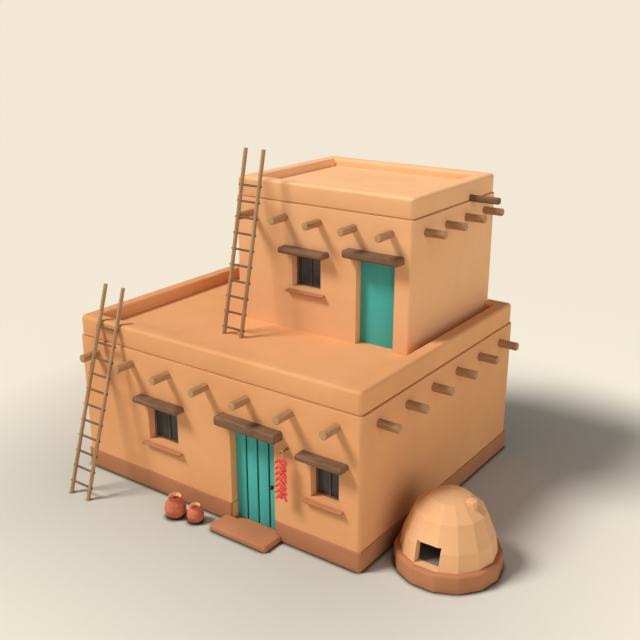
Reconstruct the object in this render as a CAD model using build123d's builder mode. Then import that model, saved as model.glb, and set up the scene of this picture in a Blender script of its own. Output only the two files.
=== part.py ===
"""Two-storey flat-roofed adobe house with its ladders, clay oven, pots and chili string.

Millimetres. Origin on the ground at the centre of the lower storey, front towards -Y, +Z up.
"""
import os
from math import asin, atan2, cos, hypot, pi, sin

from build123d import *

os.makedirs("parts", exist_ok=True)

# ---- lower storey -------------------------------------------------------------------
house_w = 7000.0
house_d = 6000.0
wall_t = 325.0
wall_top = 3000.0
corner_r = 75.0
plinth_h = 400.0
plinth_out = 25.0
plinth_corner_r = 60.0
top_edge_r = 20.0
floor_t = 50.0
deck_rise = 178.0
ceiling_t = 50.0

# ---- parapets -----------------------------------------------------------------------
parapet_in = 25.0
parapet_h = 440.0
parapet_corner_r = 80.0
parapet_edge_r = 72.0
upper_parapet_h = 400.0

# ---- upper storey -------------------------------------------------------------------
upper_w = 4210.0
upper_d = 3433.0
upper_right_in = 554.0
upper_back_in = 83.0
upper_wall_h = 2622.0
upper_deck_rise = 230.0

# ---- logs carrying the roofs --------------------------------------------------------
log_sides = 10
log_r = 85.0
log_drop = 300.0
log_count = 7
log_side_in = 500.0
log_out = 415.0
stub_count = 6
stub_front_in = 550.0
stub_back_in = 615.0
upper_log_r = 78.0
upper_log_drop = 300.0
upper_log_count = 5
upper_log_side_in = 465.0
upper_log_out = 465.0
upper_stub_count = 4
upper_stub_front_in = 481.0
upper_stub_back_in = 501.0
upper_stub_out = 422.0
log_end_chamfer = 12.0

# ---- side beam at the foot of the upper parapet --------------------------------------
beam_front_in = 2316.0
beam_rise = 50.0
beam_size = 130.0
beam_out = 620.0
beam_bearing = 250.0
beam_chamfer = 28.0

# ---- openings: centre from a corner, width, levels (upper ones from the deck) ----------
door_in = 2406.0
door_w = 1057.0
door_head = 2090.0
win_left_in = 2295.0
win_left_w = 810.0
win_left_z = 1150.0
win_left_head = 1985.0
win_right_in = 750.0
win_right_w = 607.0
win_right_z = 1180.0
win_right_head = 1935.0
win_upper_in = 1798.0
win_upper_w = 708.0
win_upper_rise = 922.0
win_upper_h = 710.0
upper_door_in = 791.0
upper_door_w = 860.0
upper_door_h = 1767.0
reveal = 165.0

# ---- lintels and sills --------------------------------------------------------------
lintel_out = 240.0
lintel_bearing = 200.0
lintel_chamfer = 30.0
door_lintel_h = 190.0
upper_door_lintel_h = 155.0
window_lintel_h = 125.0
sill_over = 115.0
sill_drop = 60.0
sill_h = 58.0
sill_out = 100.0
sill_in = 100.0
sill_chamfer = 14.0

# ---- windows ------------------------------------------------------------------------
frame_t = 50.0
frame_w = 32.0
mullion_w = 26.0
rebate_w = 12.0
rebate_t = 20.0
glass_t = 8.0
glass_gap = 0.3

# ---- ground door --------------------------------------------------------------------
plank_count = 4
plank_t = 25.0
plank_gap = 42.0
backing_t = 25.0
jamb_gap = 6.0
door_floor_gap = 10.0
door_top_gap = 8.0
pin_r = 12.0
pin_fit = 0.4
pin_depth = 35.0
pin_end_gap = 0.3
leaf_edge_flat = 0.1
knob_r = 42.0
knob_stem_r = 14.0
knob_stem = 24.0
knob_inset = 145.0
knob_z = 985.0

# ---- doorstep -----------------------------------------------------------------------
step_over = 150.0
step_d = 485.0
step_h = 130.0
step_chamfer = 22.0

# ---- ladders ------------------------------------------------------------------------
rail_r = 43.0
rung_r = 23.0
rung_fit = 0.3
rung_over = 16.0
pole_sides = 8
lean_gap = 0.3
ladder_log_gap = 5.0
ladder_foot_out = 1106.0
ladder_over = 758.0
ladder_gauge = 508.0
rung_pitch = 324.0
rung_first = 258.0
roof_ladder_aside = 28.0
roof_ladder_foot_out = 1050.0
roof_ladder_over = 647.0
roof_ladder_gauge = 451.0
roof_rung_pitch = 320.0
roof_rung_first = 146.0

# ---- chili string on its peg --------------------------------------------------------
peg_beside_door = 854.0
peg_z = 1985.0
peg_r = 22.0
peg_out = 210.0
peg_in = 120.0
string_r = 6.0
string_inset = 25.0
string_gap = 0.3
string_low = 1045.0
chili_tiers = 7
chili_per_tier = 4
chili_pitch = 110.0
chili_first_drop = 85.0
chili_len = 165.0
chili_stem = 13.0
chili_shoulder = 50.0
chili_taper = 112.0
chili_stem_r = 4.0
chili_r = 26.0
chili_taper_r = 20.0
chili_tip_r = 4.0
chili_sides = 6

# ---- clay oven ----------------------------------------------------------------------
oven_gap = 106.0
oven_front_in = 1212.0
oven_sides = 14
oven_base_r = 976.0
oven_base_h = 345.0
oven_base_chamfer = 30.0
oven_rings = ((870.0, 0.0), (820.0, 325.0), (640.0, 785.0), (360.0, 1025.0), (70.0, 1095.0))
oven_wall = 150.0
hollow_top_r = 60.0
mouth_w = 470.0
mouth_h = 420.0
mouth_sill = 15.0
plug_reach = 400.0
plug_r = 105.0
plug_len = 330.0
plug_sides = 8
plug_top = 1060.0
plug_fit = 0.3

# ---- clay pots: place, rings of (radius, height) ------------------------------------
pot_sides = 12
pot_wall = 16.0
pot_rings = ((121.0, 0.0), (190.0, 70.0), (219.0, 190.0), (190.0, 300.0), (118.0, 378.0), (138.0, 444.0))
pot_large_beside = 1038.5
pot_large_out = 477.0
pot_small_beside = 587.5
pot_small_out = 393.0
pot_small_scale = 0.79

# ---- levels and faces worked out from the sizes above -------------------------------
front_y = -house_d / 2
back_y = house_d / 2
right_x = house_w / 2
inner_w = house_w - 2 * wall_t
inner_d = house_d - 2 * wall_t
deck_top = wall_top + deck_rise
parapet_top = wall_top + parapet_h
upper_right_x = right_x - upper_right_in
upper_left_x = upper_right_x - upper_w
upper_back_y = back_y - upper_back_in
upper_front_y = upper_back_y - upper_d
upper_cx = (upper_left_x + upper_right_x) / 2
upper_cy = (upper_front_y + upper_back_y) / 2
upper_inner_w = upper_w - 2 * wall_t
upper_inner_d = upper_d - 2 * wall_t
upper_wall_top = deck_top + upper_wall_h
upper_deck_top = upper_wall_top + upper_deck_rise
upper_parapet_top = upper_wall_top + upper_parapet_h
log_z = wall_top - log_drop
upper_log_z = upper_wall_top - upper_log_drop
log_flat = cos(pi / log_sides)
ceiling_z = log_z + log_r * log_flat
upper_ceiling_z = upper_log_z + upper_log_r * log_flat
front_plane = Plane.XZ.offset(-front_y)
upper_front_plane = Plane.XZ.offset(-upper_front_y)
door_x = right_x - door_in
door_left = door_x - door_w / 2
door_right = door_x + door_w / 2
win_left_x = -right_x + win_left_in
win_right_x = right_x - win_right_in
win_upper_x = upper_left_x + win_upper_in
win_upper_z = deck_top + win_upper_rise
win_upper_head = win_upper_z + win_upper_h
upper_door_x = upper_right_x - upper_door_in
upper_door_head = deck_top + upper_door_h
beam_y = upper_front_y + beam_front_in
beam_z = upper_wall_top + beam_rise
first_log_x = -right_x + log_side_in
first_upper_log_x = upper_left_x + upper_log_side_in

# name: centre x, clear width, sill level, head level, front face
windows = {
    "left": (win_left_x, win_left_w, win_left_z, win_left_head, front_y),
    "right": (win_right_x, win_right_w, win_right_z, win_right_head, front_y),
    "upper": (win_upper_x, win_upper_w, win_upper_z, win_upper_head, upper_front_y),
}


def spread(first, last, count):
    """Evenly spaced places from the first to the last."""
    return [first + k * (last - first) / (count - 1) for k in range(count)]


def finish(builder, name):
    """Label a finished piece and write it."""
    builder.part.label = name
    export_step(builder.part, f"parts/{name}.step")


def block(x0, x1, y0, y1, z0, z1):
    """A plain block between two opposite corners, as its own part."""
    with BuildPart(Plane.XY.offset(z0)) as piece:
        with Locations(((x0 + x1) / 2, (y0 + y1) / 2)):
            Box(x1 - x0, y1 - y0, z1 - z0, align=(Align.CENTER, Align.CENTER, Align.MIN))
    return piece.part


# ---- floor, threshold and step ------------------------------------------------------
with BuildPart() as floor_slab:
    Box(inner_w, inner_d, floor_t, align=(Align.CENTER, Align.CENTER, Align.MIN))
finish(floor_slab, "floor_slab")

pin_x = door_left + jamb_gap + backing_t
pin_y = front_y + reveal + plank_t
leaf_low = floor_t + door_floor_gap
leaf_high = door_head - door_top_gap

with BuildPart() as threshold:
    add(block(door_left, door_right, front_y - plinth_out, front_y + wall_t, 0, floor_t))
    with BuildSketch(Plane.XY.offset(floor_t)):
        with Locations((pin_x, pin_y)):
            Circle(pin_r + pin_fit)
    extrude(amount=-(pin_depth - door_floor_gap + pin_end_gap), mode=Mode.SUBTRACT)
finish(threshold, "threshold")

with BuildPart() as doorstep:
    with BuildSketch():
        with Locations((door_x, front_y - plinth_out)):
            Rectangle(door_w + 2 * step_over, step_d, align=(Align.CENTER, Align.MAX))
    extrude(amount=step_h)
    top = doorstep.faces().sort_by(Axis.Z)[-1]
    outer = top.edges().sort_by(Axis.Y)[:-1]
    uprights = doorstep.edges().filter_by(Axis.Z).sort_by(Axis.Y)[:2]
    chamfer(outer + uprights, step_chamfer)
finish(doorstep, "doorstep")

# ---- outer forms that the plinth and the walls of each storey are cut to --------------
def outer_form(x, y, width, depth, low, high, corner):
    """A storey's whole outer form, with rounded corners and a rounded top edge."""
    with BuildPart() as form:
        with BuildSketch(Plane.XY.offset(low)):
            with Locations((x, y)):
                RectangleRounded(width, depth, corner)
        extrude(amount=high - low)
        fillet(form.faces().sort_by(Axis.Z)[-1].edges(), top_edge_r)
    return form.part


plinth_x = right_x + plinth_out
plinth_y = front_y - plinth_out
plinth_form = outer_form(0, 0, 2 * plinth_x, -2 * plinth_y, 0, plinth_h, plinth_corner_r)
lower_form = outer_form(0, 0, house_w, house_d, plinth_h, wall_top, corner_r)
upper_form = outer_form(upper_cx, upper_cy, upper_w, upper_d, deck_top, upper_wall_top, corner_r)

# ---- plinth -------------------------------------------------------------------------
with BuildPart() as plinth_front:
    for x0, x1, door_side in ((-plinth_x, door_left, -1), (door_right, plinth_x, 0)):
        with BuildSketch() as plan:
            with Locations(((x0 + x1) / 2, plinth_y)):
                Rectangle(x1 - x0, wall_t + plinth_out, align=(Align.CENTER, Align.MIN))
            fillet(plan.vertices().group_by(Axis.Y)[0].sort_by(Axis.X)[door_side], plinth_corner_r)
        extrude(amount=plinth_h)
    add(plinth_form, mode=Mode.INTERSECT)
finish(plinth_front, "plinth_front")

with BuildPart() as plinth_back:
    add(block(-plinth_x, plinth_x, back_y - wall_t, -plinth_y, 0, plinth_h))
    add(plinth_form, mode=Mode.INTERSECT)
finish(plinth_back, "plinth_back")

with BuildPart() as plinth_left:
    add(block(-plinth_x, -right_x + wall_t, -inner_d / 2, inner_d / 2, 0, plinth_h))
    add(plinth_form, mode=Mode.INTERSECT)
finish(plinth_left, "plinth_left")

with BuildPart() as plinth_right:
    add(block(right_x - wall_t, plinth_x, -inner_d / 2, inner_d / 2, 0, plinth_h))
    add(plinth_form, mode=Mode.INTERSECT)
finish(plinth_right, "plinth_right")

# ---- roof logs ----------------------------------------------------------------------
with BuildPart() as vigas_front:
    with BuildSketch(Plane.XZ.offset(back_y + log_out)):
        with Locations(*[(x, log_z) for x in spread(first_log_x, -first_log_x, log_count)]):
            RegularPolygon(log_r, log_sides)
    extrude(amount=-(house_d + 2 * log_out))
    chamfer(vigas_front.faces().filter_by(Axis.Y).edges(), log_end_chamfer)
finish(vigas_front, "vigas_front")

with BuildPart() as vigas_right:
    with BuildSketch(Plane.YZ.offset(right_x + log_out)):
        stub_ends = front_y + stub_front_in, back_y - stub_back_in
        with Locations(*[(y, log_z) for y in spread(*stub_ends, stub_count)]):
            RegularPolygon(log_r, log_sides)
    extrude(amount=-(wall_t + log_out))
    chamfer(vigas_right.faces().sort_by(Axis.X)[-stub_count:].edges(), log_end_chamfer)
finish(vigas_right, "vigas_right")

with BuildPart() as upper_vigas_front:
    with BuildSketch(Plane.XZ.offset(-(upper_front_y - upper_log_out))):
        upper_log_ends = first_upper_log_x, upper_right_x - upper_log_side_in
        with Locations(*[(x, upper_log_z) for x in spread(*upper_log_ends, upper_log_count)]):
            RegularPolygon(upper_log_r, log_sides)
    extrude(amount=-(upper_d + 2 * upper_log_out))
    chamfer(upper_vigas_front.faces().filter_by(Axis.Y).edges(), log_end_chamfer)
finish(upper_vigas_front, "upper_vigas_front")

with BuildPart() as upper_vigas_right:
    with BuildSketch(Plane.YZ.offset(upper_right_x + upper_stub_out)):
        upper_stub_ends = upper_front_y + upper_stub_front_in, upper_back_y - upper_stub_back_in
        with Locations(*[(y, upper_log_z) for y in spread(*upper_stub_ends, upper_stub_count)]):
            RegularPolygon(upper_log_r, log_sides)
    extrude(amount=-(wall_t + upper_stub_out))
    chamfer(upper_vigas_right.faces().sort_by(Axis.X)[-upper_stub_count:].edges(), log_end_chamfer)
finish(upper_vigas_right, "upper_vigas_right")

# ---- lintels ------------------------------------------------------------------------
with BuildPart() as door_lintel:
    with Locations((door_x, front_y - lintel_out, door_head)):
        Box(door_w + 2 * lintel_bearing, wall_t + lintel_out, door_lintel_h,
            align=(Align.CENTER, Align.MIN, Align.MIN))
    chamfer(door_lintel.edges(), lintel_chamfer)
    with BuildSketch(Plane.XY.offset(door_head)):
        with Locations((pin_x, pin_y)):
            Circle(pin_r + pin_fit)
    extrude(amount=pin_depth - door_top_gap + pin_end_gap, mode=Mode.SUBTRACT)
finish(door_lintel, "door_lintel")

with BuildPart() as upper_door_lintel:
    with Locations((upper_door_x, upper_front_y - lintel_out, upper_door_head)):
        Box(upper_door_w + 2 * lintel_bearing, wall_t + lintel_out, upper_door_lintel_h,
            align=(Align.CENTER, Align.MIN, Align.MIN))
    chamfer(upper_door_lintel.edges(), lintel_chamfer)
finish(upper_door_lintel, "upper_door_lintel")

with BuildPart() as window_lintels:
    for x, width, _, head, face in windows.values():
        with Locations((x, face - lintel_out, head)):
            Box(width + 2 * lintel_bearing, wall_t + lintel_out, window_lintel_h,
                align=(Align.CENTER, Align.MIN, Align.MIN))
    chamfer(window_lintels.edges(), lintel_chamfer)
finish(window_lintels, "window_lintels")

with BuildPart() as window_sills:
    for x, width, low, _, face in windows.values():
        with Locations((x, face - sill_out, low - sill_drop)):
            Box(width + 2 * sill_over, sill_out + sill_in, sill_h,
                align=(Align.CENTER, Align.MIN, Align.MAX))
    chamfer(window_sills.edges(), sill_chamfer)
finish(window_sills, "window_sills")

# ---- peg of the chili string --------------------------------------------------------
peg_x = door_x + peg_beside_door
with BuildPart() as ristra_peg:
    with BuildSketch(Plane.XZ.offset(-front_y + peg_out)):
        with Locations((peg_x, peg_z)):
            RegularPolygon(peg_r, pole_sides, rotation=180 / pole_sides)
    extrude(amount=-(peg_out + peg_in))
finish(ristra_peg, "ristra_peg")

# ---- lower walls --------------------------------------------------------------------
with BuildPart() as front_wall_left:
    add(block(-right_x, door_left, front_y, front_y + wall_t, plinth_h, wall_top))
    add(lower_form, mode=Mode.INTERSECT)
    with BuildSketch(front_plane):
        with Locations((win_left_x, win_left_z)):
            Rectangle(win_left_w, win_left_head - win_left_z, align=(Align.CENTER, Align.MIN))
    extrude(amount=-wall_t, mode=Mode.SUBTRACT)
    for fitted in (vigas_front, door_lintel, window_lintels, window_sills):
        add(fitted.part, mode=Mode.SUBTRACT)
finish(front_wall_left, "front_wall_left")

with BuildPart() as front_wall_right:
    add(block(door_right, right_x, front_y, front_y + wall_t, plinth_h, wall_top))
    add(lower_form, mode=Mode.INTERSECT)
    with BuildSketch(front_plane):
        with Locations((win_right_x, win_right_z)):
            Rectangle(win_right_w, win_right_head - win_right_z, align=(Align.CENTER, Align.MIN))
    extrude(amount=-wall_t, mode=Mode.SUBTRACT)
    for fitted in (vigas_front, door_lintel, window_lintels, window_sills, ristra_peg):
        add(fitted.part, mode=Mode.SUBTRACT)
finish(front_wall_right, "front_wall_right")

with BuildPart() as front_wall_head:
    add(block(door_left, door_right, front_y, front_y + wall_t, door_head + door_lintel_h, wall_top))
    add(lower_form, mode=Mode.INTERSECT)
    for fitted in (vigas_front, door_lintel):
        add(fitted.part, mode=Mode.SUBTRACT)
finish(front_wall_head, "front_wall_head")

with BuildPart() as back_wall:
    add(block(-right_x, right_x, back_y - wall_t, back_y, plinth_h, wall_top))
    add(lower_form, mode=Mode.INTERSECT)
    add(vigas_front.part, mode=Mode.SUBTRACT)
finish(back_wall, "back_wall")

with BuildPart() as left_wall:
    add(block(-right_x, -right_x + wall_t, -inner_d / 2, inner_d / 2, plinth_h, wall_top))
    add(lower_form, mode=Mode.INTERSECT)
finish(left_wall, "left_wall")

with BuildPart() as right_wall:
    add(block(right_x - wall_t, right_x, -inner_d / 2, inner_d / 2, plinth_h, wall_top))
    add(lower_form, mode=Mode.INTERSECT)
    add(vigas_right.part, mode=Mode.SUBTRACT)
finish(right_wall, "right_wall")

# ---- ceilings and roof decks --------------------------------------------------------
with BuildPart() as ceiling_boards:
    add(block(-inner_w / 2, inner_w / 2, -inner_d / 2, inner_d / 2, ceiling_z, ceiling_z + ceiling_t))
finish(ceiling_boards, "ceiling_boards")

with BuildPart() as roof_deck:
    add(block(-inner_w / 2, inner_w / 2, -inner_d / 2, inner_d / 2, ceiling_z + ceiling_t, deck_top))
finish(roof_deck, "roof_deck")

with BuildPart() as upper_ceiling_boards:
    with BuildSketch(Plane.XY.offset(upper_ceiling_z)):
        with Locations((upper_cx, upper_cy)):
            Rectangle(upper_inner_w, upper_inner_d)
    extrude(amount=ceiling_t)
finish(upper_ceiling_boards, "upper_ceiling_boards")

with BuildPart() as upper_roof_deck:
    with BuildSketch(Plane.XY.offset(upper_ceiling_z + ceiling_t)):
        with Locations((upper_cx, upper_cy)):
            Rectangle(upper_inner_w, upper_inner_d)
    extrude(amount=upper_deck_top - upper_ceiling_z - ceiling_t)
finish(upper_roof_deck, "upper_roof_deck")

# ---- beam that juts from the upper right side ---------------------------------------
with BuildPart() as side_beam:
    with Locations((upper_right_x - beam_bearing, beam_y, beam_z)):
        Box(beam_bearing + beam_out, beam_size, beam_size, align=(Align.MIN, Align.CENTER, Align.CENTER))
    chamfer(side_beam.edges(), beam_chamfer)
finish(side_beam, "side_beam")

# ---- parapets -----------------------------------------------------------------------
with BuildPart() as roof_parapet:
    with BuildSketch(Plane.XY.offset(wall_top)):
        RectangleRounded(house_w - 2 * parapet_in, house_d - 2 * parapet_in, parapet_corner_r)
        Rectangle(inner_w, inner_d, mode=Mode.SUBTRACT)
    extrude(amount=parapet_h)
    top = roof_parapet.faces().sort_by(Axis.Z)[-1]
    fillet(top.edges(), parapet_edge_r)
    with BuildSketch(Plane.XY.offset(deck_top)):
        with Locations((upper_cx, upper_back_y - wall_t)):
            Rectangle(upper_w, house_d, align=(Align.CENTER, Align.MIN))
    extrude(amount=parapet_h, mode=Mode.SUBTRACT)
finish(roof_parapet, "roof_parapet")

with BuildPart() as upper_parapet:
    with BuildSketch(Plane.XY.offset(upper_wall_top)):
        with Locations((upper_cx, upper_cy)):
            RectangleRounded(upper_w - 2 * parapet_in, upper_d - 2 * parapet_in, parapet_corner_r)
            Rectangle(upper_inner_w, upper_inner_d, mode=Mode.SUBTRACT)
    extrude(amount=upper_parapet_h)
    top = upper_parapet.faces().sort_by(Axis.Z)[-1]
    fillet(top.edges(), parapet_edge_r)
    add(side_beam.part, mode=Mode.SUBTRACT)
finish(upper_parapet, "upper_parapet")

# ---- upper walls --------------------------------------------------------------------
upper_room = upper_front_y + wall_t, upper_back_y - wall_t

with BuildPart() as upper_front_wall:
    add(block(upper_left_x, upper_right_x, upper_front_y, upper_room[0], deck_top, upper_wall_top))
    add(upper_form, mode=Mode.INTERSECT)
    with BuildSketch(upper_front_plane):
        with Locations((win_upper_x, win_upper_z)):
            Rectangle(win_upper_w, win_upper_h, align=(Align.CENTER, Align.MIN))
        with Locations((upper_door_x, deck_top)):
            Rectangle(upper_door_w, upper_door_h, align=(Align.CENTER, Align.MIN))
    extrude(amount=-wall_t, mode=Mode.SUBTRACT)
    for fitted in (upper_vigas_front, upper_door_lintel, window_lintels, window_sills):
        add(fitted.part, mode=Mode.SUBTRACT)
finish(upper_front_wall, "upper_front_wall")

with BuildPart() as upper_back_wall:
    add(block(upper_left_x, upper_right_x, upper_room[1], upper_back_y, deck_top, upper_wall_top))
    add(upper_form, mode=Mode.INTERSECT)
    add(upper_vigas_front.part, mode=Mode.SUBTRACT)
finish(upper_back_wall, "upper_back_wall")

with BuildPart() as upper_left_wall:
    add(block(upper_left_x, upper_left_x + wall_t, *upper_room, deck_top, upper_wall_top))
    add(upper_form, mode=Mode.INTERSECT)
finish(upper_left_wall, "upper_left_wall")

with BuildPart() as upper_right_wall:
    add(block(upper_right_x - wall_t, upper_right_x, *upper_room, deck_top, upper_wall_top))
    add(upper_form, mode=Mode.INTERSECT)
    for fitted in (upper_vigas_right, side_beam):
        add(fitted.part, mode=Mode.SUBTRACT)
finish(upper_right_wall, "upper_right_wall")

# ---- windows ------------------------------------------------------------------------
with BuildPart() as window_frames:
    for x, width, low, head, face in windows.values():
        frame_plane = Plane.XZ.offset(-(face + reveal))
        mid = (low + head) / 2
        tall = head - low
        pane_w = width - 2 * frame_w
        pane_h = tall - 2 * frame_w
        with BuildSketch(frame_plane):
            with Locations((x, mid)):
                Rectangle(width, tall)
                Rectangle(pane_w, pane_h, mode=Mode.SUBTRACT)
                Rectangle(mullion_w, pane_h)
        extrude(amount=-frame_t)
        with BuildSketch(frame_plane.offset(-frame_t)):
            with Locations((x, mid)):
                Rectangle(pane_w + 2 * rebate_w, pane_h + 2 * rebate_w)
        extrude(amount=rebate_t, mode=Mode.SUBTRACT)
finish(window_frames, "window_frames")

with BuildPart() as window_glass:
    for x, width, low, head, face in windows.values():
        pane_w = width - 2 * frame_w
        pane_h = head - low - 2 * frame_w
        with BuildSketch(Plane.XZ.offset(-(face + reveal + frame_t - rebate_t))):
            with Locations((x, (low + head) / 2)):
                Rectangle(pane_w + 2 * (rebate_w - glass_gap), pane_h + 2 * (rebate_w - glass_gap))
        extrude(amount=-glass_t)
finish(window_glass, "window_glass")

# ---- ground door on its pins --------------------------------------------------------
leaf_h = leaf_high - leaf_low
leaf_left = door_left + jamb_gap
leaf_right = door_right - jamb_gap
with BuildPart() as door_leaf:
    with BuildSketch(Plane.XY.offset(leaf_low)) as plan:
        with Locations((leaf_left, pin_y)):
            Rectangle(leaf_right - leaf_left, backing_t, align=(Align.MIN, Align.MIN))
        fillet(plan.vertices().sort_by(Axis.X)[:2].sort_by(Axis.Y)[-1], backing_t - leaf_edge_flat)
    extrude(amount=leaf_h)
    with BuildSketch(Plane.XY.offset(leaf_low - pin_depth)):
        with Locations((pin_x, pin_y)):
            Circle(pin_r)
    extrude(amount=leaf_h + 2 * pin_depth)
    add(block(leaf_left, leaf_right, pin_y - plank_t, pin_y, leaf_low, leaf_high), mode=Mode.SUBTRACT)
finish(door_leaf, "door_leaf")

plank_w = (leaf_right - leaf_left - (plank_count - 1) * plank_gap) / plank_count
with BuildPart() as door_planks:
    with BuildSketch(Plane.XY.offset(leaf_low)):
        for k in range(plank_count):
            with Locations((leaf_left + k * (plank_w + plank_gap), pin_y)):
                Rectangle(plank_w, plank_t, align=(Align.MIN, Align.MAX))
    extrude(amount=leaf_h)
finish(door_planks, "door_planks")

with BuildPart() as door_knob:
    with BuildSketch(Plane.XZ.offset(-(pin_y - plank_t))):
        with Locations((leaf_right - knob_inset, knob_z)):
            Circle(knob_stem_r)
    extrude(amount=knob_stem + knob_r)
    with Locations((leaf_right - knob_inset, pin_y - plank_t - knob_stem - knob_r, knob_z)):
        Sphere(knob_r)
finish(door_knob, "door_knob")

with BuildPart() as upper_door:
    with BuildSketch(upper_front_plane.offset(-reveal)):
        with Locations((upper_door_x, deck_top)):
            Rectangle(upper_door_w, upper_door_h, align=(Align.CENTER, Align.MIN))
    extrude(amount=-(plank_t + backing_t))
finish(upper_door, "upper_door")


# ---- ladders ------------------------------------------------------------------------
def leaning(foot_y, foot_z, rest_y, rest_z, rest_r):
    """Lean from upright of rails whose backs rest on an edge of that centre and rounding."""
    away = rest_r + rail_r * cos(pi / pole_sides) + lean_gap
    run = rest_y - foot_y
    rise = rest_z - foot_z
    return atan2(run, rise) - asin(away / hypot(run, rise))


def half_rung(gauge):
    """Half the length of a rung."""
    return gauge / 2 + rail_r + rung_over


def ladder(name, foot, lean, top_z, over, gauge, first, pitch):
    """A pair of pole rails that reach over the level top_z, and the rungs up to that level."""
    up = Vector(0, sin(lean), cos(lean))
    to_top = (top_z - foot.Z) / cos(lean)
    rung_count = int((to_top - first) // pitch) + 1
    rung_places = [foot + up * (first + k * pitch) for k in range(rung_count)]

    with BuildPart() as rungs:
        for place in rung_places:
            with BuildSketch(Plane(origin=place, x_dir=up, z_dir=(1, 0, 0))):
                RegularPolygon(rung_r, pole_sides, rotation=180 / pole_sides)
            extrude(amount=half_rung(gauge), both=True)
    finish(rungs, f"{name}_rungs")

    with BuildPart() as rails:
        with BuildSketch(Plane(origin=foot, x_dir=(1, 0, 0), z_dir=up).offset(-2 * rail_r)):
            with GridLocations(gauge, 1, 2, 1):
                RegularPolygon(rail_r, pole_sides, rotation=180 / pole_sides)
        extrude(amount=to_top + over + 2 * rail_r)
        for place in rung_places:
            with BuildSketch(Plane(origin=place, x_dir=up, z_dir=(1, 0, 0))):
                RegularPolygon(rung_r + rung_fit, pole_sides, rotation=180 / pole_sides)
            extrude(amount=half_rung(gauge), both=True, mode=Mode.SUBTRACT)
        split(bisect_by=Plane.XY.offset(foot.Z), keep=Keep.TOP)
    finish(rails, f"{name}_rails")


# the ground ladder stands beside the first log and rests on the rounded edge of the parapet
ladder_foot = Vector(
    first_log_x + log_r + ladder_log_gap + half_rung(ladder_gauge), front_y - ladder_foot_out, 0
)
ladder(
    "ladder_ground", ladder_foot,
    leaning(
        ladder_foot.Y, ladder_foot.Z,
        front_y + parapet_in + parapet_edge_r, parapet_top - parapet_edge_r, parapet_edge_r,
    ),
    parapet_top, ladder_over, ladder_gauge, rung_first, rung_pitch,
)

# the left rail of the roof ladder rests on the end of the first upper log
roof_ladder_foot = Vector(
    first_upper_log_x + roof_ladder_aside + roof_ladder_gauge / 2,
    upper_front_y - roof_ladder_foot_out, deck_top,
)
ladder(
    "ladder_roof", roof_ladder_foot,
    leaning(
        roof_ladder_foot.Y, roof_ladder_foot.Z,
        upper_front_y - upper_log_out, upper_ceiling_z - log_end_chamfer, 0,
    ),
    upper_parapet_top, roof_ladder_over, roof_ladder_gauge, roof_rung_first, roof_rung_pitch,
)

# ---- chili string -------------------------------------------------------------------
string_y = front_y - peg_out + string_inset
loop_r = peg_r + string_gap + string_r
string_top = peg_z - loop_r - string_r - string_gap
with BuildPart() as ristra_loop:
    with Locations(Location((peg_x, string_y, peg_z), (90, 0, 0))):
        Torus(loop_r, string_r)
finish(ristra_loop, "ristra_loop")

with BuildPart() as ristra_string:
    with BuildSketch(Plane.XY.offset(string_low)):
        with Locations((peg_x, string_y)):
            Circle(string_r)
    extrude(amount=string_top - string_low)
finish(ristra_string, "ristra_string")

with BuildPart() as chili:
    for radius, along in (
        (chili_stem_r, 0),
        (chili_stem_r, chili_stem),
        (chili_r, chili_shoulder),
        (chili_taper_r, chili_taper),
        (chili_tip_r, chili_len),
    ):
        with BuildSketch(Plane.XY.offset(along)):
            RegularPolygon(radius, chili_sides)
    loft(ruled=True)

with BuildPart() as ristra_chilies:
    for tier in range(chili_tiers):
        z = string_top - chili_first_drop - tier * chili_pitch
        for k in range(chili_per_tier):
            turn = 2 * pi * k / chili_per_tier
            start = string_r + string_gap + chili_stem_r * cos(pi / 4)
            place = Plane(
                origin=(peg_x + start * cos(turn), string_y + start * sin(turn), z),
                z_dir=(cos(turn), sin(turn), -1),
            )
            with Locations(place.location):
                add(chili.part)
finish(ristra_chilies, "ristra_chilies")


# ---- clay oven ----------------------------------------------------------------------
def ring_loft(builder_name, rings, sides, x, y, z, scale=1.0):
    """A body with flat facets through regular polygons of (radius, height)."""
    with BuildPart() as body:
        for radius, height in rings:
            with BuildSketch(Plane.XY.offset(z + height * scale)):
                with Locations((x, y)):
                    RegularPolygon(radius * scale, sides)
        loft(ruled=True)
    body.part.label = builder_name
    return body.part


oven_x = plinth_x + oven_gap + oven_base_r
oven_y = front_y + oven_front_in
with BuildPart() as oven_base:
    with BuildSketch():
        with Locations((oven_x, oven_y)):
            RegularPolygon(oven_base_r, oven_sides)
    extrude(amount=oven_base_h)
    chamfer(oven_base.faces().sort_by(Axis.Z)[-1].edges(), oven_base_chamfer)
finish(oven_base, "oven_base")

with BuildPart() as oven_plug:
    with BuildSketch(Plane.XY.offset(oven_base_h + plug_top)):
        with Locations((oven_x + plug_reach, oven_y)):
            RegularPolygon(plug_r, plug_sides)
    extrude(amount=-plug_len)
finish(oven_plug, "oven_plug")

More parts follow.
